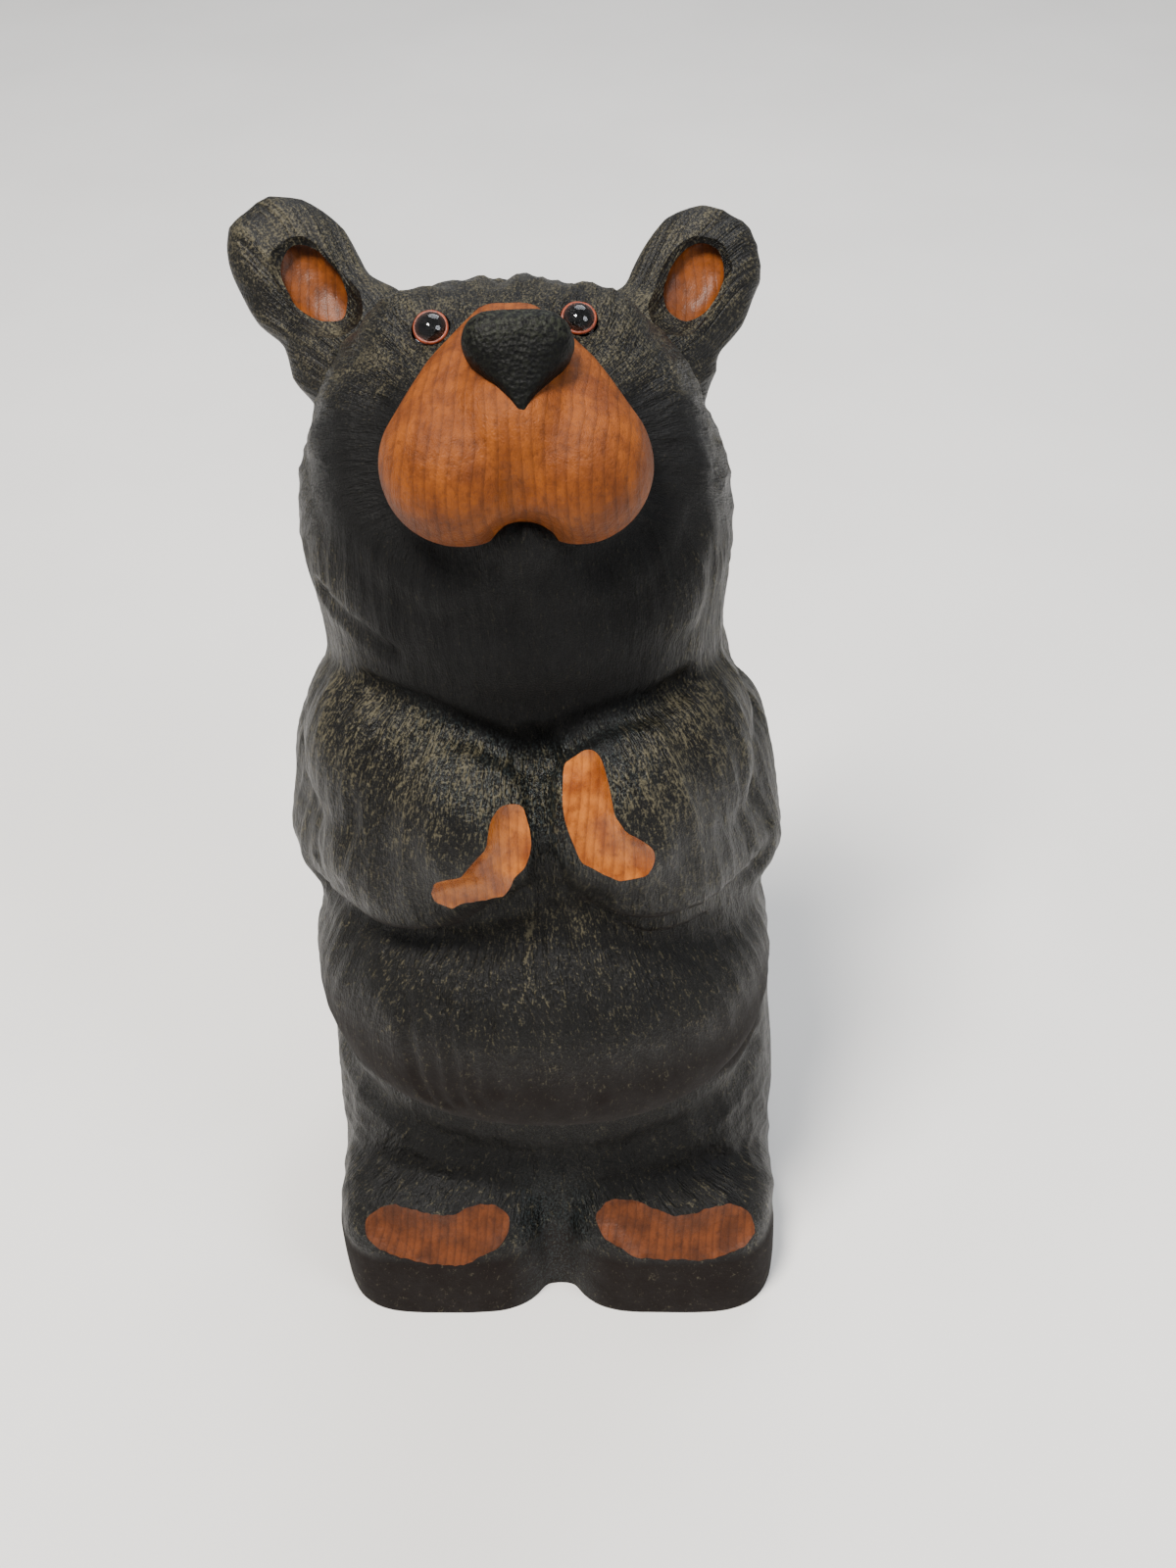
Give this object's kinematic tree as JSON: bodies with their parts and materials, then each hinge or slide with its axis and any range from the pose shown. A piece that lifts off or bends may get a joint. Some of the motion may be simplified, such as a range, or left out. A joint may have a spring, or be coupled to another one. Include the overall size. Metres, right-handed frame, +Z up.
{
  "type": "carved wooden bear",
  "caption": "Standing bear carved from a block of wood, gazing upwards with its paws folded on its chest, with a raised muzzle, gouged pads and set-in glass eyes.",
  "frame": {"origin": "middle of the flat underside that the bear stands on", "axes": "+Z up to the ears, -Y the way the bear faces, +X to the bear's left"},
  "size_m": [0.0903, 0.0817, 0.2001],
  "materials": {
    "stained_wood": "black stain, dry-brushed, satin",
    "eye_glass": "gloss"
  },
  "bodies": {
    "root": {"bear_body": "stained_wood", "eye_left": "eye_glass", "eye_right": "eye_glass"}
  },
  "joints": []
}
